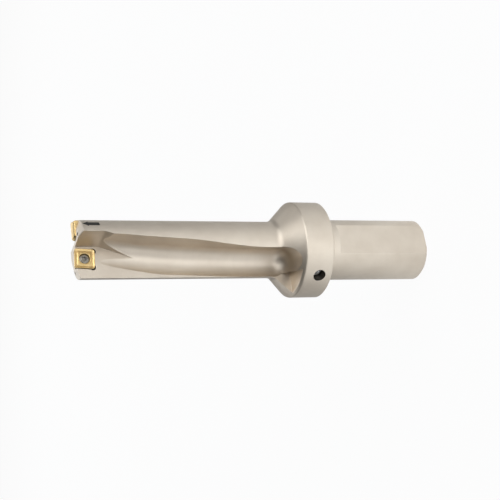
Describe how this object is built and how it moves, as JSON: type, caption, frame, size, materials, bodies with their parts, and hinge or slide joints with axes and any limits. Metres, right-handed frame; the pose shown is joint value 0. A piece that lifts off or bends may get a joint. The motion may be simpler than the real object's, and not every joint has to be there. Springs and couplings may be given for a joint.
{
  "type": "indexable drill",
  "caption": "Indexable drill with a flatted parallel shank, a wide flange, a fluted satin-nickel body and gold-coated square inserts, standing on its shank end",
  "frame": {"origin": "the middle of the shank's end face, the underside of the standing drill", "axes": "z is the drill's axis, up from the shank's end to the tip; the flute with the inner insert faces -y; x completes a right-handed frame"},
  "size_m": [0.0504, 0.0504, 0.1908],
  "materials": {
    "nickel_plated_steel": "satin nickel-plated steel",
    "titanium_nitride": "gold titanium-nitride coated carbide",
    "dark_screw_steel": "dark hardened screw steel",
    "bright_plug_steel": "plain bright steel"
  },
  "bodies": {
    "root": {"drill_body": "nickel_plated_steel", "inner_insert": "titanium_nitride", "outer_insert": "titanium_nitride", "inner_insert_screw": "dark_screw_steel", "outer_insert_screw": "dark_screw_steel", "coolant_plug": "bright_plug_steel"}
  },
  "joints": []
}
